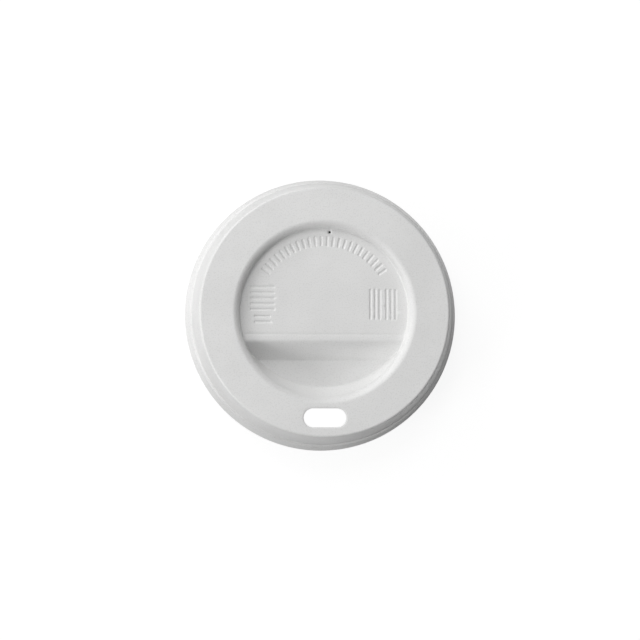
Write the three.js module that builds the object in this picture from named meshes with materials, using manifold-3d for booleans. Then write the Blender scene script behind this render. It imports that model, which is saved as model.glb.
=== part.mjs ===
// Sip-through lid for a takeaway cup, formed in one piece from a thin sheet of white plastic.
// Millimetres, +Z up. The origin is the centre of the base, and the sip slot faces -Y.

import * as THREE from "three";
import { mergeVertices } from "three/addons/utils/BufferGeometryUtils.js";
import Module from "manifold-3d";

const wasm = await Module();
wasm.setup();

// Sheet, and the rolled cup rim that snaps in under the shoulder
const SHEET = 0.4;
const CUP_RIM_RADIUS = 45;
const CUP_RIM_CLEARANCE = 0.46;

// Skirt, from the shoulder down over the snap bead to the flared lip
const SHOULDER_HEIGHT = 8.3;
const SHOULDER_FILLET = 0.6;
const BEAD_DEPTH = 0.76;
const BEAD_HEIGHT = 3.4;
const BEAD_FILLET = 1.2;
const LIP_FLARE = 1.9;
const LIP_BAND = 0.9;
const LIP_FILLET = 0.6;

// Outer wall, from the ledge over the shoulder up to the drinking rim
const HEIGHT = 19;
const LEDGE_WIDTH = 0.96;
const LEDGE_RISE = 0.2;
const LEDGE_FILLET = 0.3;
const WALL_DRAFT = THREE.MathUtils.degToRad(13);
const RIM_FILLET = 0.9;
const RIM_WIDTH = 13.19;

// Round well inside the drinking rim, with its shallow floor
const MOUTH_FILLET = 2.5;
const WELL_DEPTH = 3.55;
const WELL_DRAFT = THREE.MathUtils.degToRad(8);

// Deeper pocket in front of the well's floor, with a ramp at its back
const RAMP_FORWARD = 9.9;
const RAMP_RUN = 6.2;
const RAMP_TOP_FILLET = 2;
const RAMP_FOOT_FILLET = 0.8;
const POCKET_DEPTH = 6;
const POCKET_STEP = 0.15;
const POCKET_WIDENING = 2.16;
const POCKET_FRONT_LEAN = 3.44;

// Sip slot through the drinking rim
const SLOT_LENGTH = 14.4;
const SLOT_WIDTH = 6.35;

// Vent at the back of the well's floor, punched through a small dimple
const VENT_RADIUS = 0.4;
const VENT_INSET = 1.34;
const VENT_BEARING = THREE.MathUtils.degToRad(3.9);
const DIMPLE_RADIUS = 0.82;
const DIMPLE_DEPTH = 0.3;

// Shallow crease across the well's floor, just behind the ramp
const CREASE_BEHIND_RAMP = 2.4;
const CREASE_WIDTH = 0.7;
const CREASE_DEPTH = 0.1;
const CREASE_END_GAP = 1;

// Fine sunk ribs on the well's floor: an arc of them at the back, and plain blocks left and right
const RIB_WIDTH = 0.75;
const RIB_DEPTH = 0.2;
const ARC_RIBS = 24;
const ARC_SPAN = THREE.MathUtils.degToRad(110);
const ARC_INSET = 4.5;
const ARC_RIB_LENGTH = 3.4;
const LEFT_BLOCK = { inset: 7.8, back: 4.7, ribs: 5, pitch: 1.9, length: 8.4 };
const LEFT_FOOT_BLOCK = { inset: 7.8, back: -2.4, ribs: 2, pitch: 1.9, length: 5.6 };
const RIGHT_BLOCKS = [
  { inset: 5.9, back: 2.8, ribs: 3, pitch: 1.6, length: 10.5 },
  { inset: 11.35, back: 2.8, ribs: 3, pitch: 1.6, length: 10.5 },
];

// Fineness of the mesh
const ROUND_SEGMENTS = 60;
const VENT_SEGMENTS = 12;
const SLOT_END_SEGMENTS = 5;
const FILLET_STEP = THREE.MathUtils.degToRad(27);

// How far a cutting shape runs on past the sheet, into the open
const OVERRUN = 1;

// Sizes that follow from the ones above
const SHOULDER_RADIUS = CUP_RIM_RADIUS + CUP_RIM_CLEARANCE + SHEET;
const BEAD_RADIUS = SHOULDER_RADIUS - BEAD_DEPTH;
const LIP_RADIUS = BEAD_RADIUS + LIP_FLARE;
const LEDGE_HEIGHT = SHOULDER_HEIGHT + LEDGE_RISE;
const WALL_FOOT_RADIUS = SHOULDER_RADIUS - LEDGE_WIDTH;
const RIM_RADIUS = WALL_FOOT_RADIUS - (HEIGHT - LEDGE_HEIGHT) * Math.tan(WALL_DRAFT);
const MOUTH_RADIUS = RIM_RADIUS - RIM_WIDTH;
const WELL_RADIUS = MOUTH_RADIUS - WELL_DEPTH * Math.tan(WELL_DRAFT);
const WELL_FLOOR = HEIGHT - WELL_DEPTH;

// A closed geometry as a solid. Only positions are kept, so that neighbouring faces share vertices.
function solid(geometry) {
  geometry.deleteAttribute("normal");
  geometry.deleteAttribute("uv");
  const merged = mergeVertices(geometry);
  const triVerts = [];
  for (let i = 0; i < merged.index.count; i += 3) {
    const [a, b, c] = merged.index.array.slice(i, i + 3);
    if (a !== b && b !== c && c !== a) triVerts.push(a, b, c);
  }
  return new wasm.Manifold(
    new wasm.Mesh({
      numProp: 3,
      vertProperties: merged.attributes.position.array,
      triVerts: new Uint32Array(triVerts),
    }),
  );
}

// A closed section of radius and height, turned about the Z axis.
function turned(section, segments = ROUND_SEGMENTS) {
  return new THREE.LatheGeometry(section, segments).rotateX(Math.PI / 2);
}

function corner(x, y, fillet = 0) {
  return { at: new THREE.Vector2(x, y), fillet };
}

// The same line on the other face of the sheet, depth below. The open side of the line is on its left.
function sunk(line, depth) {
  const along = line.slice(1).map(({ at }, i) => at.clone().sub(line[i].at).normalize());
  return line.map(({ at, fillet }, i) => {
    const before = along[Math.max(i - 1, 0)];
    const after = along[Math.min(i, along.length - 1)];
    const inward = new THREE.Vector2(before.y + after.y, -before.x - after.x);
    const spread = 1 + before.dot(after);
    const turnsRight = before.cross(after) < 0;
    return {
      at: at.clone().addScaledVector(inward, depth / spread),
      fillet: fillet && Math.max(fillet + (turnsRight ? -depth : depth), 0),
    };
  });
}

// The points of a line whose corners are rounded to their fillets.
function rounded(line) {
  return line.flatMap(({ at, fillet }, i) => {
    if (!fillet) return [at];
    const back = line[i - 1].at.clone().sub(at).normalize();
    const onward = line[i + 1].at.clone().sub(at).normalize();
    const half = Math.acos(back.dot(onward)) / 2;
    const toCentre = back.clone().add(onward).setLength(fillet / Math.sin(half));
    const centre = at.clone().add(toCentre);
    const start = at.clone().addScaledVector(back, fillet / Math.tan(half));
    const turn = (Math.PI - 2 * half) * -Math.sign(back.cross(onward));
    const steps = Math.ceil(Math.abs(turn) / FILLET_STEP);
    return Array.from({ length: steps + 1 }, (_, k) =>
      start.clone().rotateAround(centre, (turn * k) / steps),
    );
  });
}

// Section of the lid's face from the axis out to the lip, at a depth below the outer face.
function faceLine(depth) {
  const line = [
    corner(0, WELL_FLOOR),
    corner(WELL_RADIUS, WELL_FLOOR),
    corner(MOUTH_RADIUS, HEIGHT, MOUTH_FILLET),
    corner(RIM_RADIUS, HEIGHT, RIM_FILLET),
    corner(WALL_FOOT_RADIUS, LEDGE_HEIGHT, LEDGE_FILLET),
    corner(SHOULDER_RADIUS, SHOULDER_HEIGHT, SHOULDER_FILLET),
    corner(BEAD_RADIUS, BEAD_HEIGHT, BEAD_FILLET),
    corner(LIP_RADIUS, LIP_BAND, LIP_FILLET),
    corner(LIP_RADIUS, -depth),
  ];
  return sunk(line, depth);
}

// The D-shaped pocket below the well's floor, as the space it leaves open at this depth.
// Its wall runs down from the well's foot to a wider ring set back, so that it leans most in front.
function pocket(depth) {
  const floor = WELL_FLOOR - depth;
  const topRadius = faceLine(depth)[1].at.x - POCKET_STEP;
  const below = POCKET_DEPTH + OVERRUN;
  const bottomRadius = topRadius + (POCKET_WIDENING * below) / POCKET_DEPTH;
  const section = [
    new THREE.Vector2(0, -below),
    new THREE.Vector2(bottomRadius, -below),
    new THREE.Vector2(topRadius, 0),
    new THREE.Vector2(topRadius - OVERRUN, OVERRUN),
    new THREE.Vector2(0, OVERRUN),
  ];
  const setBack = -(POCKET_WIDENING + POCKET_FRONT_LEAN) / POCKET_DEPTH;
  const bowl = turned(section)
    .applyMatrix4(new THREE.Matrix4().makeShear(0, 0, 0, 0, 0, setBack))
    .translate(0, 0, floor);
  return solid(bowl).intersect(solid(rampCut(depth)));
}

// Everything in front of the ramp and above the pocket's floor, as a bar along X.
function rampCut(depth) {
  const rampFoot = RAMP_FORWARD + RAMP_RUN;
  const line = sunk(
    [
      corner(0, WELL_FLOOR),
      corner(RAMP_FORWARD, WELL_FLOOR, RAMP_TOP_FILLET),
      corner(rampFoot, WELL_FLOOR - POCKET_DEPTH, RAMP_FOOT_FILLET),
      corner(LIP_RADIUS, WELL_FLOOR - POCKET_DEPTH),
    ],
    depth,
  );
  const outline = rounded(line).slice(1);
  const top = WELL_FLOOR + 2 * OVERRUN;
  outline.push(new THREE.Vector2(LIP_RADIUS, top), new THREE.Vector2(outline[0].x, top));
  return alongX(outline, 2 * LIP_RADIUS);
}

// An outline of forward distance and height, drawn out evenly to both sides along X.
function alongX(outline, length) {
  const toPlace = new THREE.Matrix4().makeBasis(
    new THREE.Vector3(0, -1, 0),
    new THREE.Vector3(0, 0, 1),
    new THREE.Vector3(-1, 0, 0),
  );
  return new THREE.ExtrudeGeometry(new THREE.Shape(outline), { depth: length, bevelEnabled: false })
    .translate(0, 0, -length / 2)
    .applyMatrix4(toPlace);
}

// A rib sunk into the floor, centred at x and y and lying along its bearing. It spreads with depth.
function rib(depth, x, y, length, bearing) {
  const height = RIB_DEPTH + OVERRUN;
  return new THREE.BoxGeometry(length + depth, RIB_WIDTH + depth, height)
    .rotateZ(bearing)
    .translate(x, y, WELL_FLOOR - depth + height / 2 - RIB_DEPTH);
}

// The arc of ribs at the back of the floor, each along a ray from the axis.
function ribArc(depth) {
  const radius = WELL_RADIUS - ARC_INSET;
  return Array.from({ length: ARC_RIBS }, (_, i) => {
    const bearing = Math.PI / 2 + ARC_SPAN * (i / (ARC_RIBS - 1) - 0.5);
    const [x, y] = [radius * Math.cos(bearing), radius * Math.sin(bearing)];
    return rib(depth, x, y, ARC_RIB_LENGTH, bearing);
  });
}

// A block of equal ribs side by side. Side is -1 on the left, where they lie along X, and 1 on the right.
function ribBlock(depth, side, { inset, back, ribs, pitch, length }) {
  const x = side * (WELL_RADIUS - inset);
  return Array.from({ length: ribs }, (_, i) => {
    const step = pitch * (i - (ribs - 1) / 2);
    return side < 0
      ? rib(depth, x, back + step, length, 0)
      : rib(depth, x + step, back, length, Math.PI / 2);
  });
}

// The straight shallow crease across the floor, just behind the ramp.
function crease(depth) {
  const forward = RAMP_FORWARD - CREASE_BEHIND_RAMP;
  const floor = WELL_FLOOR - depth;
  const half = CREASE_WIDTH / 2;
  const outline = [
    new THREE.Vector2(forward - half, floor),
    new THREE.Vector2(forward, floor - CREASE_DEPTH),
    new THREE.Vector2(forward + half, floor),
    new THREE.Vector2(forward + half, floor + OVERRUN),
    new THREE.Vector2(forward - half, floor + OVERRUN),
  ];
  const chord = 2 * (Math.sqrt(WELL_RADIUS ** 2 - forward ** 2) - CREASE_END_GAP);
  return alongX(outline, chord);
}

function marks(depth) {
  return [
    crease(depth),
    ...ribArc(depth),
    ...ribBlock(depth, -1, LEFT_BLOCK),
    ...ribBlock(depth, -1, LEFT_FOOT_BLOCK),
    ...RIGHT_BLOCKS.flatMap((block) => ribBlock(depth, 1, block)),
  ].map(solid);
}

function atVent(geometry, height) {
  const radius = WELL_RADIUS - VENT_INSET;
  return geometry.translate(0, radius, height).rotateZ(-VENT_BEARING);
}

function dimple(depth) {
  const section = [
    new THREE.Vector2(0, -DIMPLE_DEPTH),
    new THREE.Vector2(VENT_RADIUS + depth / 2, -DIMPLE_DEPTH),
    new THREE.Vector2(DIMPLE_RADIUS + depth / 2, 0),
    new THREE.Vector2(DIMPLE_RADIUS + depth / 2, SHEET),
    new THREE.Vector2(0, SHEET),
  ];
  return solid(atVent(turned(section, VENT_SEGMENTS), WELL_FLOOR - depth));
}

function vent() {
  const length = DIMPLE_DEPTH + SHEET + 2 * OVERRUN;
  const drill = new THREE.CylinderGeometry(VENT_RADIUS, VENT_RADIUS, length, VENT_SEGMENTS);
  return solid(atVent(drill.rotateX(Math.PI / 2), WELL_FLOOR));
}

// The slot has half-round ends and lies across the middle of the rim.
function sipSlot() {
  const endRadius = SLOT_WIDTH / 2;
  const endX = SLOT_LENGTH / 2 - endRadius;
  const outline = new THREE.Shape()
    .absarc(endX, 0, endRadius, -Math.PI / 2, Math.PI / 2)
    .absarc(-endX, 0, endRadius, Math.PI / 2, 1.5 * Math.PI);
  const cutter = new THREE.ExtrudeGeometry(outline, {
    depth: SHEET + 2 * OVERRUN,
    bevelEnabled: false,
    curveSegments: SLOT_END_SEGMENTS,
  });
  const middle = (RIM_RADIUS + MOUTH_RADIUS) / 2;
  return solid(cutter.translate(0, -middle, HEIGHT - SHEET - OVERRUN));
}

// Everything under the lid's face at a depth below the outer face, filled in down to the base.
function filled(depth) {
  const face = rounded(faceLine(depth));
  const section = [new THREE.Vector2(0, -depth), ...face.reverse()];
  return [pocket(depth), dimple(depth), ...marks(depth)].reduce(
    (body, hollow) => body.subtract(hollow),
    solid(turned(section)),
  );
}

const formed = filled(0).subtract(filled(SHEET)).subtract(sipSlot()).subtract(vent());

const { vertProperties, triVerts } = formed.getMesh();
const geometry = new THREE.BufferGeometry();
geometry.setAttribute("position", new THREE.BufferAttribute(vertProperties, 3));
geometry.setIndex(new THREE.BufferAttribute(triVerts, 1));
geometry.computeVertexNormals();

const whitePlastic = new THREE.MeshStandardMaterial({
  color: 0xe9e9e7,
  roughness: 0.42,
  metalness: 0,
});

const lid = new THREE.Mesh(geometry, whitePlastic);
lid.name = "lid";

const group = new THREE.Group();
group.add(lid);

export default group;
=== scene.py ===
"""Looks of a formed white cup lid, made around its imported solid.

The lid is one thin sheet, so one closed mesh stands for it: the face of the sheet, its underside
and the cut edges between them. Sizes are in millimetres up to the moment a mesh is made.
"""

import logging
import math
from collections.abc import Iterator
from dataclasses import dataclass, field
from enum import Enum, IntEnum

import bpy
import numpy as np
from mathutils import Matrix, Vector
from mathutils.geometry import delaunay_2d_cdt


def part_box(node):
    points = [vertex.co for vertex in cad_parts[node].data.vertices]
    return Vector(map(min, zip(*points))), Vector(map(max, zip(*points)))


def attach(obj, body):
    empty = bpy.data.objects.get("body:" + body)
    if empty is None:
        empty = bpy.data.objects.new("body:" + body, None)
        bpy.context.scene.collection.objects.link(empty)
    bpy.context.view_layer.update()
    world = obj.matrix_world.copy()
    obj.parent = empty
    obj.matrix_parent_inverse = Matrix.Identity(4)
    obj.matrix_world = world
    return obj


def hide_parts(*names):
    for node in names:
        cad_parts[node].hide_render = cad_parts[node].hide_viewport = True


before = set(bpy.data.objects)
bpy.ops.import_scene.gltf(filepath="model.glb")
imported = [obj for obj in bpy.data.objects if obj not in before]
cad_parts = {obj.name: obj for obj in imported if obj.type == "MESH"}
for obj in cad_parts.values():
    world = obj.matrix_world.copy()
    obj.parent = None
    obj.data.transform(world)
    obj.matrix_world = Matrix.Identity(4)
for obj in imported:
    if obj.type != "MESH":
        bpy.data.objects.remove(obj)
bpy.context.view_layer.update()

LOG = logging.getLogger("cup_lid")
MM = 0.001
WHITE = (1.0, 1.0, 1.0, 1.0)


class Surface(IntEnum):
    """The surfaces of the sheet. Each value is the surface's material slot on the mesh."""

    FACE = 0
    UNDERSIDE = 1
    CUT_EDGE = 2


class Lie(Enum):
    """How a rib lies in plan, as the bearing of its length in radians."""

    ACROSS = 0.0
    ALONG = math.pi / 2


def unit(vectors: np.ndarray) -> np.ndarray:
    """Vectors of the same directions and length one.

    Args:
        vectors: An array whose last axis holds the vectors.

    Returns:
        The array with each vector scaled to length one.
    """
    return vectors / np.linalg.norm(vectors, axis=-1, keepdims=True)


def left_of(direction: np.ndarray) -> np.ndarray:
    """The direction a quarter turn to the left of a plane direction."""
    return np.array((-direction[1], direction[0]))


def eased(low: float, high: float, value: np.ndarray) -> np.ndarray:
    """A smooth step from nought at low to one at high.

    Args:
        low: Where the step starts.
        high: Where the step ends.
        value: The values to map.

    Returns:
        The eased share of the way, between nought and one.
    """
    share = np.clip((value - low) / (high - low), 0.0, 1.0)
    return share * share * (3.0 - 2.0 * share)


def filleted_above(
    flat: np.ndarray, slope: np.ndarray, steepness: np.ndarray | float, fillet: float
) -> np.ndarray:
    """The higher of a flat and a sloping surface, with a round fillet in the corner between them.

    Args:
        flat: Heights of the flatter surface.
        slope: Heights of the steeper surface.
        steepness: Rise of the steeper surface over the flatter one, for each step across.
        fillet: Radius of the fillet.

    Returns:
        Heights of the joined surface.
    """
    across = (slope - flat) / steepness
    angle = np.arctan(steepness)
    reach = fillet * np.tan(angle / 2.0)
    arc = flat + fillet - np.sqrt(np.maximum(fillet**2 - (across + reach) ** 2, 0.0))
    joined = np.where(across < reach * np.cos(angle), arc, slope)
    return np.where(across < -reach, flat, joined)


def filleted_below(
    flat: np.ndarray, slope: np.ndarray, steepness: np.ndarray | float, fillet: float
) -> np.ndarray:
    """The lower of a flat and a sloping surface, with its edge rounded. See filleted_above."""
    return -filleted_above(-flat, -slope, steepness, fillet)


@dataclass(frozen=True)
class Corner:
    """A corner of a section line, at a radius and a height, and the fillet that rounds it."""

    radius: float
    height: float
    fillet: float = 0.0


@dataclass(frozen=True)
class SectionLine:
    """A line of radius and height through rounded corners. Its open side is on its left."""

    corners: tuple[Corner, ...]

    def turns(self) -> Iterator[tuple[Corner, np.ndarray, np.ndarray]]:
        """Each corner with the directions of the line before and after it.

        Yields:
            The corner, the direction before it and the direction after it.
        """
        at = np.array([(c.radius, c.height) for c in self.corners])
        along = unit(np.diff(at, axis=0))
        last = len(along) - 1
        for i, corner in enumerate(self.corners):
            yield corner, along[max(i - 1, 0)], along[min(i, last)]

    def sunk(self, depth: float) -> "SectionLine":
        """The same line on the other side of a sheet.

        Args:
            depth: Thickness of the sheet.

        Returns:
            The line that lies depth to the right of this one.
        """
        moved = []
        for corner, before, after in self.turns():
            spread = 1.0 + before @ after
            shift = -(left_of(before) + left_of(after)) * depth / spread
            turns_left = before[0] * after[1] - before[1] * after[0] > 0
            fillet = max(corner.fillet + (depth if turns_left else -depth), 0.0)
            moved.append(
                Corner(
                    corner.radius + shift[0],
                    corner.height + shift[1],
                    fillet if corner.fillet else 0.0,
                )
            )
        return SectionLine(tuple(moved))

    def points(self, arc_step: float, straight_step: float) -> tuple[np.ndarray, np.ndarray]:
        """The line as close points.

        Args:
            arc_step: Largest angle between points on a fillet, in radians.
            straight_step: Largest distance between points on a straight stretch.

        Returns:
            The points and the directions out of the open side there, a row each.
        """
        at, out = [], []
        for corner, before, after in self.turns():
            here = np.array((corner.radius, corner.height))
            turn = math.atan2(before[0] * after[1] - before[1] * after[0], before @ after)
            side = math.copysign(corner.fillet, turn)
            reach = corner.fillet * math.tan(abs(turn) / 2.0)
            centre = here - before * reach + left_of(before) * side
            steps = math.ceil(abs(turn) / arc_step) if corner.fillet else 0
            for k in range(steps + 1):
                angle = turn * k / max(steps, 1)
                cos, sin = math.cos(angle), math.sin(angle)
                along = np.array(
                    (cos * before[0] - sin * before[1], sin * before[0] + cos * before[1])
                )
                point = centre - left_of(along) * side
                gap = point - at[-1] if at else np.zeros(2)
                pieces = math.ceil(np.linalg.norm(gap) / straight_step) if k == 0 else 1
                for piece in range(1, pieces):
                    at.append(at[-piece] + gap * piece / pieces)
                    out.append(left_of(before))
                at.append(point)
                out.append(left_of(along))
        return np.array(at), np.array(out)


@dataclass(frozen=True)
class Rib:
    """A sunk rib with round ends, centred in plan and lying along a bearing."""

    x: float
    y: float
    length: float
    width: float
    bearing: float

    def distance(self, x: np.ndarray, y: np.ndarray) -> np.ndarray:
        """Distance from the rib's outline, which is negative inside it.

        Args:
            x: Plan positions to the right.
            y: Plan positions to the back.

        Returns:
            The signed distances.
        """
        cos, sin = math.cos(self.bearing), math.sin(self.bearing)
        along = np.abs((x - self.x) * cos + (y - self.y) * sin)
        aside = np.abs((y - self.y) * cos - (x - self.x) * sin)
        past = np.maximum(along - (self.length - self.width) / 2.0, 0.0)
        return np.hypot(past, aside) - self.width / 2.0


@dataclass(frozen=True)
class RibBlock:
    """A block of equal ribs side by side, placed from the edge of the well's floor."""

    inset: float
    back: float
    ribs: int
    pitch: float
    length: float
    lie: Lie

    def build(self, floor_radius: float, width: float) -> list[Rib]:
        """Lays the block's ribs out.

        Args:
            floor_radius: Radius of the well's floor.
            width: Width of a rib.

        Returns:
            The ribs. Those that lie across are on the left of the floor, the others on the right.
        """
        side = -1.0 if self.lie is Lie.ACROSS else 1.0
        x = side * (floor_radius - self.inset)
        steps = [self.pitch * (i - (self.ribs - 1) / 2.0) for i in range(self.ribs)]
        if self.lie is Lie.ACROSS:
            return [Rib(x, self.back + s, self.length, width, self.lie.value) for s in steps]
        return [Rib(x + s, self.back, self.length, width, self.lie.value) for s in steps]


@dataclass(frozen=True)
class LidSizes:
    """Sizes of the lid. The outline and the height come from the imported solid's box."""

    lip_radius: float
    height: float
    sheet: float = 0.4
    lip_flare: float = 1.9
    lip_band: float = 0.9
    lip_fillet: float = 0.6
    lip_edge_fillet: float = 0.12
    bead_depth: float = 0.76
    bead_height: float = 3.4
    bead_fillet: float = 1.2
    shoulder_height: float = 8.3
    shoulder_fillet: float = 0.6
    ledge_width: float = 0.96
    ledge_rise: float = 0.2
    ledge_fillet: float = 0.3
    wall_draft: float = math.radians(13.0)
    rim_fillet: float = 0.9
    rim_width: float = 13.19
    mouth_fillet: float = 2.5
    well_depth: float = 3.55
    well_draft: float = math.radians(8.0)
    well_foot_fillet: float = 0.5
    ramp_forward: float = 9.9
    ramp_run: float = 6.2
    ramp_top_fillet: float = 2.0
    ramp_foot_fillet: float = 0.8
    pocket_depth: float = 6.0
    pocket_widening: float = 2.16
    pocket_front_lean: float = 3.44
    pocket_wall_blend: float = 0.6

    @property
    def bead_radius(self) -> float:
        """Radius at the narrowest place of the skirt."""
        return self.lip_radius - self.lip_flare

    @property
    def shoulder_radius(self) -> float:
        """Radius of the shoulder over the cup's rim."""
        return self.bead_radius + self.bead_depth

    @property
    def ledge_height(self) -> float:
        """Height of the ledge at the foot of the outer wall."""
        return self.shoulder_height + self.ledge_rise

    @property
    def wall_foot_radius(self) -> float:
        """Radius of the foot of the outer wall."""
        return self.shoulder_radius - self.ledge_width

    @property
    def rim_radius(self) -> float:
        """Radius of the drinking rim's outer edge, before its fillet."""
        rise = self.height - self.ledge_height
        return self.wall_foot_radius - rise * math.tan(self.wall_draft)

    @property
    def mouth_radius(self) -> float:
        """Radius of the well's mouth, before its fillet."""
        return self.rim_radius - self.rim_width

    @property
    def well_radius(self) -> float:
        """Radius of the foot of the well's wall."""
        return self.mouth_radius - self.well_depth * math.tan(self.well_draft)

    @property
    def floor_height(self) -> float:
        """Height of the well's shallow floor."""
        return self.height - self.well_depth

    @property
    def join_radius(self) -> float:
        """Radius on the flat of the rim where the turned outside takes over from the plan."""
        return self.rim_radius - self.rim_fillet


@dataclass(frozen=True)
class SipSlot:
    """The oval slot that is punched through the middle of the drinking rim."""

    sizes: LidSizes
    length: float = 14.4
    width: float = 6.35
    roll_width: float = 0.55
    roll_depth: float = 0.12
    end_points: int = 40
    side_points: int = 14

    @property
    def y(self) -> float:
        """Place of the slot's middle, in front of the axis."""
        return -(self.sizes.rim_radius + self.sizes.mouth_radius) / 2.0

    def distance(self, x: np.ndarray, y: np.ndarray) -> np.ndarray:
        """Distance from the slot's edge, which is negative in the open. See Rib.distance."""
        return Rib(0.0, self.y, self.length, self.width, 0.0).distance(x, y)

    def roll(self, x: np.ndarray, y: np.ndarray) -> np.ndarray:
        """How far the punch drew the sheet down beside the cut."""
        return self.roll_depth * (1.0 - eased(0.0, self.roll_width, self.distance(x, y)))

    def outline(self) -> np.ndarray:
        """The cut edge in plan, anticlockwise.

        Returns:
            Its points, a row each.
        """
        radius = self.width / 2.0
        middle = self.length / 2.0 - radius
        bend = np.linspace(-math.pi / 2.0, math.pi / 2.0, self.end_points)
        side = np.linspace(middle, -middle, self.side_points)[1:-1]
        right = np.column_stack((middle + radius * np.cos(bend), radius * np.sin(bend)))
        back = np.column_stack((side, np.full_like(side, radius)))
        return np.vstack((right, back, -right, -back)) + (0.0, self.y)


@dataclass(frozen=True)
class Vent:
    """The small round hole at the back of the well's floor, in its dimple."""

    sizes: LidSizes
    radius: float = 0.4
    inset: float = 1.34
    bearing: float = math.radians(3.9)
    dimple_radius: float = 0.95
    dimple_depth: float = 0.3
    edge_points: int = 32

    @property
    def centre(self) -> tuple[float, float]:
        """Place of the hole in plan."""
        reach = self.sizes.well_radius - self.inset
        return reach * math.sin(self.bearing), reach * math.cos(self.bearing)

    def distance(self, x: np.ndarray, y: np.ndarray) -> np.ndarray:
        """Distance from the hole's edge, which is negative in the open."""
        return np.hypot(x - self.centre[0], y - self.centre[1]) - self.radius

    def dimple(self, x: np.ndarray, y: np.ndarray) -> np.ndarray:
        """How far the dimple sinks the floor."""
        reach = self.dimple_radius - self.radius
        return self.dimple_depth * (1.0 - eased(0.0, reach, self.distance(x, y)))

    def outline(self) -> np.ndarray:
        """The cut edge in plan, anticlockwise.

        Returns:
            Its points, a row each.
        """
        angles = np.linspace(0.0, 2.0 * math.pi, self.edge_points, endpoint=False)
        ring = self.radius * np.column_stack((np.cos(angles), np.sin(angles)))
        return ring + self.centre


@dataclass(frozen=True)
class SunkMarks:
    """Plain fine ribs and the crease that are sunk into the well's shallow floor."""

    sizes: LidSizes
    rib_width: float = 0.75
    rib_depth: float = 0.2
    rib_edge: float = 0.2
    arc_ribs: int = 24
    arc_span: float = math.radians(110.0)
    arc_inset: float = 4.5
    arc_rib_length: float = 3.4
    blocks: tuple[RibBlock, ...] = (
        RibBlock(7.8, 4.7, 5, 1.9, 8.4, Lie.ACROSS),
        RibBlock(7.8, -2.4, 2, 1.9, 5.6, Lie.ACROSS),
        RibBlock(5.9, 2.8, 3, 1.6, 10.5, Lie.ALONG),
        RibBlock(11.35, 2.8, 3, 1.6, 10.5, Lie.ALONG),
    )
    crease_behind_ramp: float = 2.4
    crease_width: float = 0.7
    crease_depth: float = 0.1
    crease_end_gap: float = 1.0

    def ribs(self) -> list[Rib]:
        """Every rib on the floor.

        Returns:
            The arc's ribs, then those of each block.
        """
        floor_radius = self.sizes.well_radius
        radius = floor_radius - self.arc_inset
        made = []
        for i in range(self.arc_ribs):
            bearing = math.pi / 2.0 + self.arc_span * (i / (self.arc_ribs - 1) - 0.5)
            x, y = radius * math.cos(bearing), radius * math.sin(bearing)
            made.append(Rib(x, y, self.arc_rib_length, self.rib_width, bearing))
        for block in self.blocks:
            made += block.build(floor_radius, self.rib_width)
        return made

    def crease(self) -> Rib:
        """The straight crease behind the ramp, as one long shallow rib.

        Returns:
            The crease.
        """
        forward = self.sizes.ramp_forward - self.crease_behind_ramp
        half = math.sqrt(self.sizes.well_radius**2 - forward**2) - self.crease_end_gap
        return Rib(0.0, -forward, 2.0 * half, self.crease_width, 0.0)

    def sink(self, x: np.ndarray, y: np.ndarray, spread: float) -> np.ndarray:
        """How far the marks sink the floor.

        Args:
            x: Plan positions to the right.
            y: Plan positions to the back.
            spread: How much wider and softer the marks are, as they are on the underside.

        Returns:
            The depth at each position.
        """
        nearest = np.full_like(x, np.inf)
        for rib in self.ribs():
            nearest = np.minimum(nearest, rib.distance(x, y))
        edge = self.rib_edge + spread / 2.0
        ribs = self.rib_depth * (1.0 - eased(-edge, edge, nearest - spread / 2.0))
        fold = self.crease().distance(x, y)
        half = self.crease_width / 2.0
        return ribs + self.crease_depth * (1.0 - eased(-half, half, fold))


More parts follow.
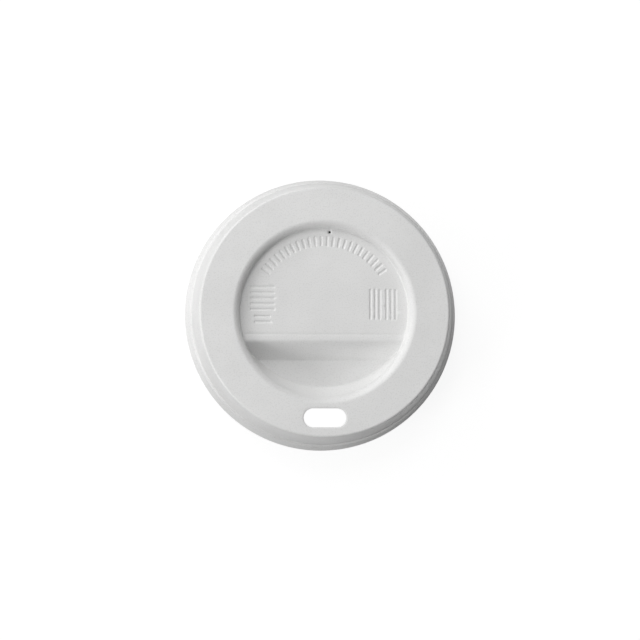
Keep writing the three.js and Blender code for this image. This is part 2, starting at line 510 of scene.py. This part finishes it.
@dataclass(frozen=True)
class WellSurface:
    """Height of one side of the sheet over the plan, inside the flat of the drinking rim."""

    sizes: LidSizes
    marks: SunkMarks
    slot: SipSlot
    vent: Vent
    depth: float = 0.0
    slope_step: float = 1e-3
    normal_step: float = 4e-3

    @property
    def line(self) -> SectionLine:
        """Section from the axis over the shallow floor, up the wall and onto the rim.

        Returns:
            The section on this side of the sheet.
        """
        s = self.sizes
        return SectionLine(
            (
                Corner(0.0, s.floor_height),
                Corner(s.well_radius, s.floor_height, s.well_foot_fillet),
                Corner(s.mouth_radius, s.height, s.mouth_fillet),
                Corner(s.join_radius, s.height),
            )
        ).sunk(self.depth)

    def wall(self, x: np.ndarray, y: np.ndarray) -> np.ndarray:
        """Height of the well's wall, run on down as the wall of the pocket.

        Args:
            x: Plan positions to the right.
            y: Plan positions to the back.

        Returns:
            The wall's height at each position, far below the floor in the middle of the well.
        """
        s = self.sizes
        foot = self.line.corners[1]
        cone = foot.height + (np.hypot(x, y) - foot.radius) / math.tan(s.well_draft)
        # The pocket's wall is made of circles that widen and move back on the way down, so the
        # share of the way down at a place is a root of a quadratic.
        set_back = s.pocket_widening + s.pocket_front_lean
        square = set_back**2 - s.pocket_widening**2
        half_linear = -(y * set_back + foot.radius * s.pocket_widening)
        constant = np.minimum(x**2 + y**2 - foot.radius**2, 0.0)
        root = np.sqrt(np.maximum(half_linear**2 - square * constant, 0.0))
        share = np.maximum((root - half_linear) / square, 0.0)
        leaning = foot.height - share * s.pocket_depth
        gap = np.maximum(s.pocket_wall_blend - np.abs(cone - leaning), 0.0)
        blended = np.maximum(cone, leaning) + gap**2 / (4.0 * s.pocket_wall_blend)
        return np.where(constant < 0.0, np.minimum(blended, foot.height), cone)

    def bottom(self, y: np.ndarray) -> np.ndarray:
        """Height of the shallow floor, the ramp and the pocket's floor, from back to front.

        Args:
            y: Plan positions to the back.

        Returns:
            The height at each position, without the wall.
        """
        s = self.sizes
        steepness = s.pocket_depth / s.ramp_run
        turn = math.tan(math.atan(steepness) / 2.0)
        floor = np.full_like(y, s.floor_height - self.depth)
        edge = s.ramp_forward - self.depth * turn
        ramp = floor - (-y - edge) * steepness
        top = filleted_below(floor, ramp, steepness, s.ramp_top_fillet - self.depth)
        foot_fillet = s.ramp_foot_fillet + self.depth
        return filleted_above(floor - s.pocket_depth, top, steepness, foot_fillet)

    def height(self, x: np.ndarray, y: np.ndarray) -> np.ndarray:
        """Height of this side of the sheet.

        Args:
            x: Plan positions to the right.
            y: Plan positions to the back.

        Returns:
            The height at each position.
        """
        s = self.sizes
        step = self.slope_step
        wall = self.wall(x, y)
        slope = np.hypot(self.wall(x + step, y) - wall, self.wall(x, y + step) - wall) / step
        bottom = self.bottom(y)
        foot_fillet = s.well_foot_fillet + self.depth
        inside = filleted_above(bottom, wall, np.maximum(slope, 1.0), foot_fillet)
        rim = np.full_like(x, s.height - self.depth)
        steepness = 1.0 / math.tan(s.well_draft)
        joined = filleted_below(rim, inside, steepness, s.mouth_fillet - self.depth)
        sunk = self.marks.sink(x, y, self.depth) + self.vent.dimple(x, y)
        return joined - sunk - self.slot.roll(x, y)

    def normal(self, x: np.ndarray, y: np.ndarray) -> np.ndarray:
        """Upward normals of this side of the sheet.

        Args:
            x: Plan positions to the right.
            y: Plan positions to the back.

        Returns:
            The normals, a row for each position.
        """
        step = self.normal_step
        across = (self.height(x + step, y) - self.height(x - step, y)) / (2.0 * step)
        along = (self.height(x, y + step) - self.height(x, y - step)) / (2.0 * step)
        return unit(np.column_stack((-across, -along, np.ones_like(x))))


@dataclass
class PlanMesh:
    """Triangles over the plan of a well surface, closer together where it bends.

    The first points are the outline's, and after them come those of each hole.
    """

    surface: WellSurface
    outline: np.ndarray
    holes: list[np.ndarray]
    tolerance: float
    shortest: float
    passes: int = 6
    ring_points: int = 360
    floor_pitch: float = 1.7
    arc_step: float = math.radians(7.0)
    bend_reach: float = 1.0
    fewest_in_ring: int = 6
    cut_margin: float = 0.25
    vent_share: float = 0.25
    merge_distance: float = 1e-7
    points: np.ndarray = field(init=False)
    triangles: np.ndarray = field(init=False)

    def rings(self) -> Iterator[np.ndarray]:
        """Rings of first points, at the radii that the section of the well bends at.

        Yields:
            The points of a ring, a row each.
        """
        line = self.surface.line
        section, _ = line.points(self.arc_step, self.floor_pitch)
        bend = line.corners[1].radius - self.bend_reach
        for ring, (radius, _height) in enumerate(section[1:-1]):
            spread = 2.0 * math.pi * radius / self.floor_pitch
            share = self.ring_points if radius > bend else spread
            count = max(math.ceil(share), self.fewest_in_ring)
            angles = (np.arange(count) + ring % 2 / 2.0) * 2.0 * math.pi / count
            yield radius * np.column_stack((np.cos(angles), np.sin(angles)))

    def seeds(self) -> np.ndarray:
        """First points inside the outline and clear of the holes."""
        found = np.vstack((np.zeros((1, 2)), *self.rings()))
        return found[self.clear(found, self.floor_pitch * self.cut_margin)]

    def clear(self, plan: np.ndarray, margin: float) -> np.ndarray:
        """Whether each point of the plan lies on the sheet, clear of its cuts.

        Args:
            plan: The points, a row each.
            margin: Least distance from the slot. The vent's is a share of it.

        Returns:
            One truth value for each point.
        """
        x, y = plan.T
        slot = self.surface.slot.distance(x, y)
        vent = self.surface.vent.distance(x, y)
        return (slot > margin) & (vent > margin * self.vent_share)

    def edges(self) -> list[tuple[int, int]]:
        """Edges of the outline and the holes, which every triangle keeps to.

        Returns:
            Pairs of point numbers.
        """
        found, start = [], 0
        for loop in (self.outline, *self.holes):
            count = len(loop)
            found += [(start + i, start + (i + 1) % count) for i in range(count)]
            start += count
        return found

    def triangulate(self) -> None:
        """Joins the present points into triangles, and leaves the holes open."""
        plan = [Vector(point) for point in self.points]
        _, _, faces, sources, _, _ = delaunay_2d_cdt(
            plan, self.edges(), [], 0, self.merge_distance, True
        )
        source = np.array([ids[0] for ids in sources])
        triangles = source[np.array(faces)]
        middles = self.points[triangles].mean(axis=1)
        inside = np.hypot(*middles.T) < self.surface.sizes.join_radius
        self.triangles = triangles[inside & self.clear(middles, 0.0)]

    def bends(self) -> np.ndarray:
        """Middles of the edges that cut a bend of the surface off by more than the tolerance.

        Returns:
            The middles, a row each.
        """
        pairs = np.vstack([self.triangles[:, [a, b]] for a, b in ((0, 1), (1, 2), (2, 0))])
        pairs = np.unique(np.sort(pairs, axis=1), axis=0)
        fixed = len(self.outline) + sum(len(hole) for hole in self.holes)
        pairs = pairs[(pairs >= fixed).any(axis=1)]
        ends = self.points[pairs]
        middles = ends.mean(axis=1)
        lengths = np.linalg.norm(ends[:, 0] - ends[:, 1], axis=1)
        heights = self.surface.height(*self.points.T)
        sag = self.surface.height(*middles.T) - heights[pairs].mean(axis=1)
        upright = self.surface.normal(*middles.T)[:, 2]
        cut = np.abs(sag) * upright > self.tolerance
        return middles[cut & (lengths * upright**-0.5 > self.shortest)]

    def build(self) -> None:
        """Lays the first points and adds points until the triangles follow the surface."""
        self.points = np.vstack((self.outline, *self.holes, self.seeds()))
        self.triangulate()
        for _ in range(self.passes):
            added = self.bends()
            if not len(added):
                break
            self.points = np.vstack((self.points, added))
            self.triangulate()


@dataclass
class SheetMesh:
    """Vertices and faces of the whole sheet, gathered part by part."""

    vertices: list[np.ndarray] = field(default_factory=list)
    faces: list[list[int]] = field(default_factory=list)
    normals: list[np.ndarray] = field(default_factory=list)
    surfaces: list[int] = field(default_factory=list)
    count: int = 0

    def add_vertices(self, positions: np.ndarray) -> np.ndarray:
        """Adds vertices.

        Args:
            positions: The vertices, a row each, in millimetres.

        Returns:
            Their numbers.
        """
        self.vertices.append(positions)
        self.count += len(positions)
        return np.arange(self.count - len(positions), self.count)

    def add_faces(self, faces: np.ndarray, normals: np.ndarray, surface: Surface) -> None:
        """Adds faces of one surface.

        Args:
            faces: Vertex numbers, a row for each face, anticlockwise from outside.
            normals: A normal for each corner of each face.
            surface: The surface that the faces are on.
        """
        self.faces += faces.tolist()
        self.normals.append(normals.reshape(-1, 3))
        self.surfaces += [int(surface)] * len(faces)

    def add_strip(
        self,
        first: np.ndarray,
        second: np.ndarray,
        normals: tuple[np.ndarray, np.ndarray],
        surface: Surface,
    ) -> None:
        """Adds a closed strip of four-sided faces between two loops.

        Args:
            first: Vertex numbers of the loop on the right of the strip, seen from outside.
            second: Vertex numbers of the loop on its left.
            normals: The normals along the first loop and along the second.
            surface: The surface that the strip is on.
        """
        ahead = np.roll(np.arange(len(first)), -1)
        quads = np.column_stack((first, first[ahead], second[ahead], second))
        low, high = normals
        corners = np.stack((low, low[ahead], high[ahead], high), axis=1)
        self.add_faces(quads, corners, surface)

    def make(self, name: str) -> bpy.types.Object:
        """Makes the gathered faces into one object, in metres.

        Args:
            name: Name of the object.

        Returns:
            The object, linked to the scene.
        """
        mesh = bpy.data.meshes.new(name)
        mesh.from_pydata((np.vstack(self.vertices) * MM).tolist(), [], self.faces)
        mesh.polygons.foreach_set("material_index", self.surfaces)
        mesh.polygons.foreach_set("use_smooth", [True] * len(self.faces))
        mesh.normals_split_custom_set(np.vstack(self.normals).tolist())
        mesh.update()
        made = bpy.data.objects.new(name, mesh)
        bpy.context.scene.collection.objects.link(made)
        return made


class NodeTree:
    """Adds nodes to a material's or a group's tree, and links them."""

    def __init__(self, tree: bpy.types.NodeTree) -> None:
        """Starts with an empty tree."""
        self.tree = tree
        tree.nodes.clear()

    def add(
        self, kind: str, inputs: dict[str | int, object] | None = None, **settings: object
    ) -> bpy.types.Node:
        """Adds a node.

        Args:
            kind: The node's type name.
            inputs: Values or sockets for its inputs, by name or number.
            **settings: The node's own settings.

        Returns:
            The new node.
        """
        node = self.tree.nodes.new(kind)
        for name, value in settings.items():
            setattr(node, name, value)
        for key, value in (inputs or {}).items():
            if isinstance(value, bpy.types.NodeSocket):
                self.tree.links.new(value, node.inputs[key])
            else:
                node.inputs[key].default_value = value
        return node

    def maths(
        self, operation: str, first: object, second: object = 0.0, **settings: object
    ) -> bpy.types.NodeSocket:
        """Adds a Math node and returns its result socket."""
        inputs = {0: first, 1: second}
        return self.add("ShaderNodeMath", inputs, operation=operation, **settings).outputs[0]

    def mixed(self, share: object, first: object, second: object) -> bpy.types.NodeSocket:
        """Adds a colour Mix node and returns its result socket."""
        inputs = {0: share, 6: first, 7: second}
        return self.add("ShaderNodeMix", inputs, data_type="RGBA").outputs[2]

    def noise(
        self, vector: object, scale: object, detail: float, roughness: float = 0.5
    ) -> bpy.types.NodeSocket:
        """Adds a noise texture and returns its value socket."""
        inputs = {"Vector": vector, "Scale": scale, "Detail": detail, "Roughness": roughness}
        return self.add("ShaderNodeTexNoise", inputs).outputs["Fac"]

    def ranged(
        self, value: object, low: object, high: object, start: object, end: object
    ) -> bpy.types.NodeSocket:
        """Adds a clamped Map Range node and returns its result socket."""
        inputs = {"Value": value, 1: low, 2: high, 3: start, 4: end}
        return self.add("ShaderNodeMapRange", inputs).outputs["Result"]


class EffectGroups:
    """Shader groups that the lid's materials share. Each is built once."""

    cloud_range = (0.35, 0.65)
    speck_range = (0.52, 0.7)
    speck_colour = (0.35, 0.35, 0.34, 1.0)
    patch_range = (0.45, 0.7)
    patch_strength = 0.7
    hair_range = (0.66, 0.74)
    hair_strength = 0.6
    hair_stretch = (1.0, 0.04, 1.0)
    hair_bearing = (0.0, 0.0, 0.6)

    def __init__(self) -> None:
        """Builds every group."""
        self.grain = self.build_grain()
        self.tone = self.build_tone()
        self.scuffs = self.build_scuffs()
        self.streaks = self.build_streaks()

    @staticmethod
    def start(
        name: str, inputs: dict[str, float | tuple[float, ...]], output: str
    ) -> tuple[bpy.types.ShaderNodeTree, NodeTree, bpy.types.bpy_prop_collection]:
        """Starts a group with a Vector input, its other named inputs and one output.

        Args:
            name: Name of the group.
            inputs: First value of each other input, by name. A tuple is a colour.
            output: Name of the output, which is a colour if it is called Color.

        Returns:
            The group, its tree and the sockets that give its inputs.
        """
        group = bpy.data.node_groups.new(name, "ShaderNodeTree")
        sockets = group.interface
        sockets.new_socket("Vector", in_out="INPUT", socket_type="NodeSocketVector")
        for label, value in inputs.items():
            kind = "NodeSocketColor" if isinstance(value, tuple) else "NodeSocketFloat"
            sockets.new_socket(label, in_out="INPUT", socket_type=kind).default_value = value
        kind = "NodeSocketColor" if output == "Color" else "NodeSocketFloat"
        sockets.new_socket(output, in_out="OUTPUT", socket_type=kind)
        tree = NodeTree(group)
        return group, tree, tree.add("NodeGroupInput").outputs

    def build_grain(self) -> bpy.types.ShaderNodeTree:
        """Fine grain of the sheet over the slow ripple that forming leaves, as a height.

        Returns:
            The group.
        """
        inputs = {"Grain Scale": 3200.0, "Ripple Scale": 260.0, "Ripple Share": 0.5}
        group, tree, given = self.start("Sheet grain", inputs, "Height")
        vector = given["Vector"]
        fine = tree.noise(vector, given["Grain Scale"], 3.0, 0.6)
        slow = tree.noise(vector, given["Ripple Scale"], 1.0, 0.4)
        share = given["Ripple Share"]
        both = tree.maths("ADD", fine, tree.maths("MULTIPLY", slow, share))
        tree.add("NodeGroupOutput", {"Height": both})
        return group

    def build_tone(self) -> bpy.types.ShaderNodeTree:
        """Cloudy change of tone in the white, with fine specks, as a colour.

        Returns:
            The group.
        """
        group, tree, given = self.start(
            "Sheet tone",
            {
                "Cloud Scale": 45.0,
                "Speck Scale": 2200.0,
                "Speck Strength": 0.05,
                "Light": (0.85, 0.85, 0.84, 1.0),
                "Shade": (0.8, 0.8, 0.79, 1.0),
            },
            "Color",
        )
        vector = given["Vector"]
        cloud = tree.noise(vector, given["Cloud Scale"], 3.0, 0.55)
        share = tree.ranged(cloud, *self.cloud_range, 0.0, 1.0)
        speck = tree.noise(vector, given["Speck Scale"], 1.0, 0.5)
        dots = tree.ranged(speck, *self.speck_range, 0.0, 1.0)
        depth = tree.maths("MULTIPLY", dots, given["Speck Strength"])
        cloudy = tree.mixed(share, given["Shade"], given["Light"])
        tree.add("NodeGroupOutput", {"Color": tree.mixed(depth, cloudy, self.speck_colour)})
        return group

    def build_scuffs(self) -> bpy.types.ShaderNodeTree:
        """Faint rubbed patches and hair scratches from stacking and handling, as a mask.

        Returns:
            The group.
        """
        inputs = {"Patch Scale": 120.0, "Scratch Scale": 900.0}
        group, tree, given = self.start("Handling scuffs", inputs, "Mask")
        vector = given["Vector"]
        patch = tree.noise(vector, given["Patch Scale"], 4.0, 0.6)
        patches = tree.ranged(patch, *self.patch_range, 0.0, self.patch_strength)
        drawn = tree.add(
            "ShaderNodeMapping",
            {"Vector": vector, "Scale": self.hair_stretch, "Rotation": self.hair_bearing},
        )
        hair = tree.noise(drawn.outputs[0], given["Scratch Scale"], 1.0, 0.5)
        hairs = tree.ranged(hair, *self.hair_range, 0.0, self.hair_strength)
        mask = tree.maths("ADD", patches, hairs, use_clamp=True)
        tree.add("NodeGroupOutput", {"Mask": mask})
        return group

    def build_streaks(self) -> bpy.types.ShaderNodeTree:
        """Faint streaks down the walls, the way the sheet was drawn, as a height.

        Returns:
            The group.
        """
        inputs = {"Streaks Round": 60.0, "Drop Scale": 80.0}
        group, tree, given = self.start("Drawing streaks", inputs, "Height")
        parts = tree.add("ShaderNodeSeparateXYZ", {0: given["Vector"]})
        turn = tree.maths("ARCTAN2", parts.outputs["Y"], parts.outputs["X"])
        around = tree.maths("MULTIPLY", turn, given["Streaks Round"])
        down = tree.maths("MULTIPLY", parts.outputs["Z"], given["Drop Scale"])
        place = tree.add("ShaderNodeCombineXYZ", {"X": around, "Y": down})
        tree.add("NodeGroupOutput", {"Height": tree.noise(place.outputs[0], 1.0, 2.0, 0.5)})
        return group


@dataclass(frozen=True)
class SheetFinish:
    """Finish of one surface of the white plastic sheet. Its heights are in metres."""

    name: str
    light: tuple[float, float, float]
    shade: tuple[float, float, float]
    speck_strength: float
    roughness: float
    scuffed_roughness: float
    grain_height: float
    ripple_share: float
    streak_height: float
    refraction: float = 1.55
    specular_level: float = 0.25

    def build(self, groups: EffectGroups) -> bpy.types.Material:
        """Makes the material.

        Args:
            groups: The shared effect groups.

        Returns:
            The material.
        """
        material = bpy.data.materials.new(self.name)
        material.use_nodes = True
        tree = NodeTree(material.node_tree)
        vector = tree.add("ShaderNodeTexCoord").outputs["Object"]

        def effect(group: bpy.types.ShaderNodeTree, **inputs: object) -> bpy.types.NodeSocket:
            """Places a group at the sheet's own position.

            Args:
                group: The group.
                **inputs: Its values, by name, with an underscore for a space.

            Returns:
                The group's output.
            """
            node = tree.add("ShaderNodeGroup", node_tree=group)
            tree.tree.links.new(vector, node.inputs["Vector"])
            for label, value in inputs.items():
                node.inputs[label.replace("_", " ")].default_value = value
            return node.outputs[0]

        tone = effect(
            groups.tone,
            Light=(*self.light, 1.0),
            Shade=(*self.shade, 1.0),
            Speck_Strength=self.speck_strength,
        )
        scuffs = effect(groups.scuffs)
        roughness = tree.ranged(scuffs, 0.0, 1.0, self.roughness, self.scuffed_roughness)
        grain = effect(groups.grain, Ripple_Share=self.ripple_share)
        streaks = effect(groups.streaks)
        fine = tree.add(
            "ShaderNodeBump", {"Height": grain, "Strength": 1.0, "Distance": self.grain_height}
        )
        bump = tree.add(
            "ShaderNodeBump",
            {
                "Height": streaks,
                "Strength": 1.0,
                "Distance": self.streak_height,
                "Normal": fine.outputs[0],
            },
        )
        plastic = tree.add(
            "ShaderNodeBsdfPrincipled",
            {
                "Base Color": tone,
                "Roughness": roughness,
                "Normal": bump.outputs[0],
                "IOR": self.refraction,
                "Specular IOR Level": self.specular_level,
            },
        )
        tree.add("ShaderNodeOutputMaterial", {"Surface": plastic.outputs[0]})
        return material


FACE_FINISH = SheetFinish(
    name="white_sheet_face",
    light=(0.83, 0.83, 0.825),
    shade=(0.79, 0.79, 0.785),
    speck_strength=0.14,
    roughness=0.36,
    scuffed_roughness=0.5,
    grain_height=0.000042,
    ripple_share=1.0,
    streak_height=0.000015,
)
UNDERSIDE_FINISH = SheetFinish(
    name="white_sheet_underside",
    light=(0.82, 0.82, 0.815),
    shade=(0.77, 0.77, 0.765),
    speck_strength=0.05,
    roughness=0.3,
    scuffed_roughness=0.42,
    grain_height=0.000008,
    ripple_share=1.6,
    streak_height=0.000015,
)
CUT_FINISH = SheetFinish(
    name="white_sheet_cut_edge",
    light=(0.87, 0.87, 0.865),
    shade=(0.82, 0.82, 0.815),
    speck_strength=0.03,
    roughness=0.6,
    scuffed_roughness=0.7,
    grain_height=0.00002,
    ripple_share=0.2,
    streak_height=0.00001,
)


@dataclass
class Lid:
    """The whole lid: one sheet with its face, its underside and its cut edges."""

    sizes: LidSizes
    node: str = "lid"
    material_slot: str = "white_plastic"
    around: int = 360
    arc_step: float = math.radians(9.0)
    straight_step: float = 3.0
    face_tolerance: float = 0.008
    underside_tolerance: float = 0.03
    shortest_edge: float = 0.09
    mesh: SheetMesh = field(default_factory=SheetMesh)

    def __post_init__(self) -> None:
        """Sets up the lid's cuts and marks from its sizes."""
        self.slot = SipSlot(self.sizes)
        self.vent = Vent(self.sizes)
        self.marks = SunkMarks(self.sizes)
        self.angles = np.linspace(0.0, 2.0 * math.pi, self.around, endpoint=False)

    def outside_line(self) -> SectionLine:
        """Section from the flat of the rim out to the lip, round its cut edge and back inside.

        Returns:
            The section, from the face's join to the underside's.
        """
        s = self.sizes
        down = SectionLine(
            (
                Corner(s.join_radius, s.height),
                Corner(s.rim_radius, s.height, s.rim_fillet),
                Corner(s.wall_foot_radius, s.ledge_height, s.ledge_fillet),
                Corner(s.shoulder_radius, s.shoulder_height, s.shoulder_fillet),
                Corner(s.bead_radius, s.bead_height, s.bead_fillet),
                Corner(s.lip_radius, s.lip_band, s.lip_fillet),
                Corner(s.lip_radius, 0.0, s.lip_edge_fillet),
            )
        )
        inside = down.sunk(s.sheet).corners[:-1]
        first, *rest = reversed(inside)
        edge = Corner(s.lip_radius - s.sheet, 0.0, s.lip_edge_fillet)
        return SectionLine((*down.corners, edge, first, *rest))

    def ring(self, radius: float, height: float) -> np.ndarray:
        """A level ring of points about the axis, or of directions out of a turned surface.

        Args:
            radius: Radius of the ring, or the outward share of the direction.
            height: Height of the ring, or the upward share of the direction.

        Returns:
            The ring, a row for each point.
        """
        level = np.full(self.around, height)
        return np.column_stack(
            (radius * np.cos(self.angles), radius * np.sin(self.angles), level)
        )

    def build_plan(self, depth: float, tolerance: float) -> list[np.ndarray]:
        """Adds one side of the sheet inside the flat of the rim.

        Args:
            depth: Depth of this side below the face.
            tolerance: How far a triangle may cut a bend off.

        Returns:
            The vertex numbers of the outer ring, of the slot's edge and of the vent's edge.
        """
        surface = WellSurface(self.sizes, self.marks, self.slot, self.vent, depth)
        outline = self.ring(self.sizes.join_radius, 0.0)[:, :2]
        holes = [self.slot.outline(), self.vent.outline()]
        plan = PlanMesh(surface, outline, holes, tolerance, self.shortest_edge)
        plan.build()
        x, y = plan.points.T
        numbers = self.mesh.add_vertices(np.column_stack((x, y, surface.height(x, y))))
        normals = surface.normal(x, y)
        triangles = plan.triangles
        kind = Surface.FACE
        if depth:
            triangles, normals, kind = triangles[:, ::-1], -normals, Surface.UNDERSIDE
        self.mesh.add_faces(numbers[triangles], normals[triangles], kind)
        ends = np.cumsum([len(outline), *map(len, holes)])
        return np.split(numbers[: ends[-1]], ends[:-1])

    def build_outside(self, face_ring: np.ndarray, underside_ring: np.ndarray) -> None:
        """Adds the turned outside, from the rim's flat over the lip to the underside's flat.

        Args:
            face_ring: Vertex numbers of the ring where the face's plan ends.
            underside_ring: Vertex numbers of the ring where the underside's plan ends.
        """
        line, outward = self.outside_line().points(self.arc_step, self.straight_step)
        last = len(line) - 1
        lip = int(np.argmin(line[:, 1]))
        numbers = face_ring
        for i in range(1, last + 1):
            ahead = (
                underside_ring if i == last else self.mesh.add_vertices(self.ring(*line[i]))
            )
            normals = (self.ring(*outward[i]), self.ring(*outward[i - 1]))
            kind = Surface.FACE if i <= lip else Surface.UNDERSIDE
            self.mesh.add_strip(ahead, numbers, normals, kind)
            numbers = ahead

    def build_cut(self, face: np.ndarray, underside: np.ndarray, outline: np.ndarray) -> None:
        """Adds the cut edge of a hole.

        Args:
            face: Vertex numbers of the hole's edge on the face.
            underside: Vertex numbers of the same edge on the underside.
            outline: The edge in plan, anticlockwise.
        """
        along = np.roll(outline, -1, axis=0) - np.roll(outline, 1, axis=0)
        inward = unit(np.column_stack((-along[:, 1], along[:, 0], np.zeros(len(outline)))))
        self.mesh.add_strip(face, underside, (inward, inward), Surface.CUT_EDGE)

    def build(self) -> bpy.types.Object:
        """Builds the lid's mesh.

        Returns:
            The lid as one object.
        """
        face_ring, *face_cuts = self.build_plan(0.0, self.face_tolerance)
        under_ring, *under_cuts = self.build_plan(self.sizes.sheet, self.underside_tolerance)
        self.build_outside(face_ring, under_ring)
        for face, underside, cut in zip(face_cuts, under_cuts, (self.slot, self.vent)):
            self.build_cut(face, underside, cut.outline())
        return self.mesh.make("formed_lid")

    def dress(self, lid: bpy.types.Object, groups: EffectGroups) -> None:
        """Gives the lid its finishes and puts it in its node's place.

        Args:
            lid: The lid's object.
            groups: The shared effect groups.
        """
        for finish in (FACE_FINISH, UNDERSIDE_FINISH, CUT_FINISH):
            lid.data.materials.append(finish.build(groups))
        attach(lid, "root")
        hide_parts(self.node)


@dataclass(frozen=True)
class SoftLamp:
    """A soft square lamp that looks at the lid from a bearing and an elevation in degrees."""

    name: str
    bearing: float
    elevation: float
    power: float
    distance: float = 0.7
    side: float = 0.25

    def build(self) -> None:
        """Adds the lamp to the scene."""
        turn, rise = math.radians(self.bearing), math.radians(self.elevation)
        direction = Vector(
            (math.cos(turn) * math.cos(rise), math.sin(turn) * math.cos(rise), math.sin(rise))
        )
        light = bpy.data.lights.new(self.name, "AREA")
        light.shape = "SQUARE"
        light.size = self.side
        light.energy = self.power
        lamp = bpy.data.objects.new(self.name, light)
        lamp.location = direction * self.distance
        lamp.rotation_euler = direction.to_track_quat("Z", "Y").to_euler()
        bpy.context.scene.collection.objects.link(lamp)


@dataclass(frozen=True)
class Viewpoint:
    """The camera nearly straight above the lid, a little to its front left."""

    tilt: float = math.radians(5.9)
    bearing: float = math.radians(216.9)
    distance: float = 0.7
    field_width: float = 0.2224
    aim_left: float = 0.00018
    aim_forward: float = 0.00167
    sensor_width: float = 36.0

    def build(self) -> None:
        """Adds the camera, with the lid's back at the top of the picture."""
        aim = Vector((-self.aim_left, -self.aim_forward, 0.0))
        away = Vector(
            (
                math.cos(self.bearing) * math.sin(self.tilt),
                math.sin(self.bearing) * math.sin(self.tilt),
                math.cos(self.tilt),
            )
        )
        right = Vector((0.0, 1.0, 0.0)).cross(away).normalized()
        up = away.cross(right)
        data = bpy.data.cameras.new("camera")
        data.sensor_width = self.sensor_width
        data.lens = self.sensor_width * self.distance / self.field_width
        camera = bpy.data.objects.new("camera", data)
        turn = Matrix((right, up, away)).transposed().to_4x4()
        camera.matrix_world = Matrix.Translation(aim + away * self.distance) @ turn
        bpy.context.scene.collection.objects.link(camera)
        bpy.context.scene.camera = camera


@dataclass
class Studio:
    """Pale floor, soft lamps and a soft surround that is brighter on the windows' side."""

    floor_half: float = 2.0
    floor_tone: float = 0.2
    floor_glow: float = 0.87
    paper_scale: float = 900.0
    paper_change: float = 0.01
    surround_dim: float = 0.04
    surround_bright: float = 0.66
    window_side: tuple[float, float, float] = (-0.72, 0.38, 0.58)
    dimmest_facing: float = -0.6
    shaded_radius: float = 0.043
    shaded_front: float = -0.024
    lamps: tuple[SoftLamp, ...] = (
        SoftLamp("back window", 124.0, 25.0, 1.3),
        SoftLamp("left window", 180.0, 42.0, 0.12),
        SoftLamp("front window", 210.0, 24.0, 1.6),
        SoftLamp("ceiling panel", 110.0, 55.0, 0.9),
    )

    def build_floor(self) -> bpy.types.Object:
        """Makes the floor, which keeps the lid's soft shadow.

        To the camera it looks white around the lid and dark under the vent, where it keeps its
        real shade. A patch under the slot, in the lid's shade, glows full white as painted light,
        so the slot shows white.

        Returns:
            The floor.
        """
        half = self.floor_half
        mesh = bpy.data.meshes.new("floor")
        mesh.from_pydata(
            [(-half, -half, 0.0), (half, -half, 0.0), (half, half, 0.0), (-half, half, 0.0)],
            [],
            [(0, 1, 2, 3)],
        )
        floor = bpy.data.objects.new("floor", mesh)
        bpy.context.scene.collection.objects.link(floor)
        material = bpy.data.materials.new("pale floor")
        material.use_nodes = True
        tree = NodeTree(material.node_tree)
        place = tree.add("ShaderNodeTexCoord").outputs["Object"]
        parts = tree.add("ShaderNodeSeparateXYZ", {0: place})
        reach = tree.add("ShaderNodeVectorMath", {0: place}, operation="LENGTH")
        around = tree.maths("GREATER_THAN", reach.outputs["Value"], self.shaded_radius)
        ahead = tree.maths("LESS_THAN", parts.outputs["Y"], self.shaded_front)
        # Painted light: the floor under the slot, which the lid shades, glows full white to the
        # camera so that the slot shows white.
        painted_glow_under_slot = tree.maths("GREATER_THAN", ahead, around)
        glow = tree.maths("ADD", tree.maths("MULTIPLY", around, self.floor_glow), painted_glow_under_slot)
        rays = tree.add("ShaderNodeLightPath").outputs
        direct = tree.maths("MAXIMUM", rays["Is Camera Ray"], rays["Is Glossy Ray"])
        seen = tree.maths("MAXIMUM", direct, rays["Is Transmission Ray"])
        strength = tree.maths("MULTIPLY", seen, glow)
        grain = tree.noise(place, self.paper_scale, 2.0)
        low, high = self.floor_tone - self.paper_change, self.floor_tone + self.paper_change
        level = tree.ranged(grain, 0.0, 1.0, low, high)
        paper = tree.add("ShaderNodeBsdfDiffuse", {"Color": level})
        clear = tree.add("ShaderNodeEmission", {"Color": WHITE, "Strength": strength})
        both = tree.add("ShaderNodeAddShader", {0: paper.outputs[0], 1: clear.outputs[0]})
        tree.add("ShaderNodeOutputMaterial", {"Surface": both.outputs[0]})
        mesh.materials.append(material)
        return floor

    def build_surround(self) -> None:
        """Sets the world: white to the camera, and soft light on the lid, most from one side."""
        world = bpy.data.worlds.new("surround")
        world.use_nodes = True
        bpy.context.scene.world = world
        tree = NodeTree(world.node_tree)
        rays = tree.add("ShaderNodeLightPath").outputs
        seen = tree.maths("MAXIMUM", rays["Is Camera Ray"], rays["Is Transmission Ray"])
        way = tree.add("ShaderNodeTexCoord").outputs["Generated"]
        both = {0: way, 1: self.window_side}
        facing = tree.add("ShaderNodeVectorMath", both, operation="DOT_PRODUCT").outputs["Value"]
        soft = tree.ranged(
            facing, self.dimmest_facing, 1.0, self.surround_dim, self.surround_bright
        )
        strength = tree.ranged(seen, 0.0, 1.0, soft, 1.0)
        sky = tree.add("ShaderNodeBackground", {"Color": WHITE, "Strength": strength})
        tree.add("ShaderNodeOutputWorld", {"Surface": sky.outputs[0]})

    def build(self) -> None:
        """Builds the floor, the surround and the lamps."""
        self.build_floor()
        self.build_surround()
        for lamp in self.lamps:
            lamp.build()
        bpy.context.scene.view_settings.view_transform = "Standard"


def main() -> None:
    """Builds and dresses the lid and sets up the studio."""
    logging.basicConfig(level=logging.INFO, format="%(name)s: %(message)s")
    low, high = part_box("lid")
    sizes = LidSizes(lip_radius=(high.x - low.x) / 2.0 / MM, height=(high.z - low.z) / MM)
    lid = Lid(sizes)
    piece = lid.build()
    lid.dress(piece, EffectGroups())
    counts = len(piece.data.vertices), len(piece.data.polygons)
    LOG.info("%s: %d vertices, %d faces", piece.name, *counts)
    Studio().build()
    Viewpoint().build()


if __name__ == "__main__":
    main()
